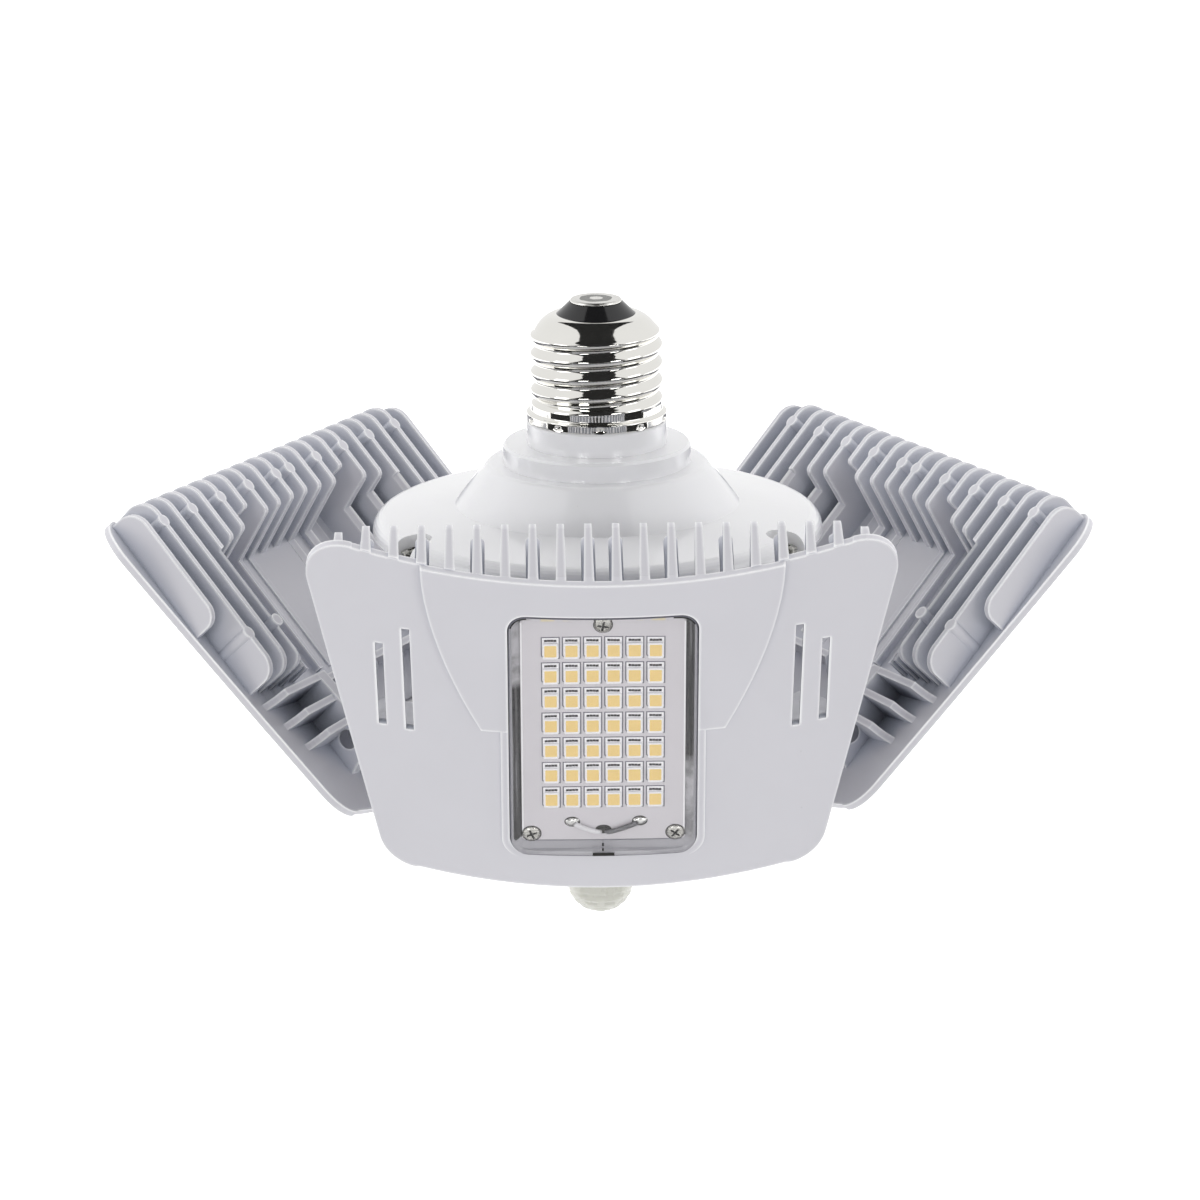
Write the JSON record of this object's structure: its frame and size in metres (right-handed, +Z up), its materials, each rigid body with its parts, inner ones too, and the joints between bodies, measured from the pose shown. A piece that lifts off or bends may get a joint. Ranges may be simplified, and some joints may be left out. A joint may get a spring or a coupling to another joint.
{
  "type": "led utility light",
  "caption": "Screw-in garage light: finned, curved LED panels fold out on hinges round a white driver housing, with a motion sensor dome below.",
  "frame": {"origin": "on the axis of the screw base, at the middle of its thread", "axes": "+Z up along the screw base towards its tip contact, -Y towards the front panel, +X to the right as seen from the front"},
  "size_m": [0.1962, 0.1596, 0.1269],
  "materials": {
    "contact": "dull nickel plate",
    "black_glass": "glossy",
    "nickel": "bright nickel plate",
    "white_cover": "glossy",
    "screw_steel": "satin",
    "green_board": "satin",
    "transformer": "satin",
    "capacitor": "satin",
    "hub_casting": "satin",
    "sensor_can": "satin",
    "sensor_dome": "satin",
    "panel_casting": "satin",
    "lens": "glossy",
    "gasket": "matte",
    "white_board": "satin",
    "led": "satin",
    "lead": "satin",
    "pin_steel": "satin",
    "washer_steel": "satin"
  },
  "bodies": {
    "hub": {"contact_tip": "contact", "base_insulator": "black_glass", "screw_shell": "nickel", "top_cover": "white_cover", "cover_screws": "screw_steel", "driver_housing": "white_cover", "driver_board": "green_board", "driver_transformer": "transformer", "driver_capacitors": "capacitor", "hinge_hub": "hub_casting", "hub_screws": "screw_steel", "sensor_board": "green_board", "sensor_element": "sensor_can", "bottom_cap": "white_cover", "cap_screws": "screw_steel", "sensor_dome": "sensor_dome"},
    "front_panel": {"front_heatsink": "panel_casting", "front_lens": "lens", "front_lens_gasket": "gasket", "front_led_board": "white_board", "front_leds": "led", "front_board_screws": "screw_steel", "front_board_leads": "lead", "front_hinge_pin": "pin_steel", "front_hinge_washers": "washer_steel"},
    "left_panel": {"left_heatsink": "panel_casting", "left_lens": "lens", "left_lens_gasket": "gasket", "left_led_board": "white_board", "left_leds": "led", "left_board_screws": "screw_steel", "left_board_leads": "lead", "left_hinge_pin": "pin_steel", "left_hinge_washers": "washer_steel"},
    "right_panel": {"right_heatsink": "panel_casting", "right_lens": "lens", "right_lens_gasket": "gasket", "right_led_board": "white_board", "right_leds": "led", "right_board_screws": "screw_steel", "right_board_leads": "lead", "right_hinge_pin": "pin_steel", "right_hinge_washers": "washer_steel"}
  },
  "joints": [
    {"name": "front_hinge", "type": "hinge", "parent": "hub", "child": "front_panel", "pos_m": [0, -0.0424, -0.07655], "axis": [1, 0, 0], "range_deg": [-16.3, 69.7]},
    {"name": "left_hinge", "type": "hinge", "parent": "hub", "child": "left_panel", "pos_m": [-0.03672, 0.0212, -0.07655], "axis": [-0.5, -0.866, 0], "range_deg": [-39.4, 46.6]},
    {"name": "right_hinge", "type": "hinge", "parent": "hub", "child": "right_panel", "pos_m": [0.03672, 0.0212, -0.07655], "axis": [-0.5, 0.866, 0], "range_deg": [-40.3, 45.7]}
  ]
}
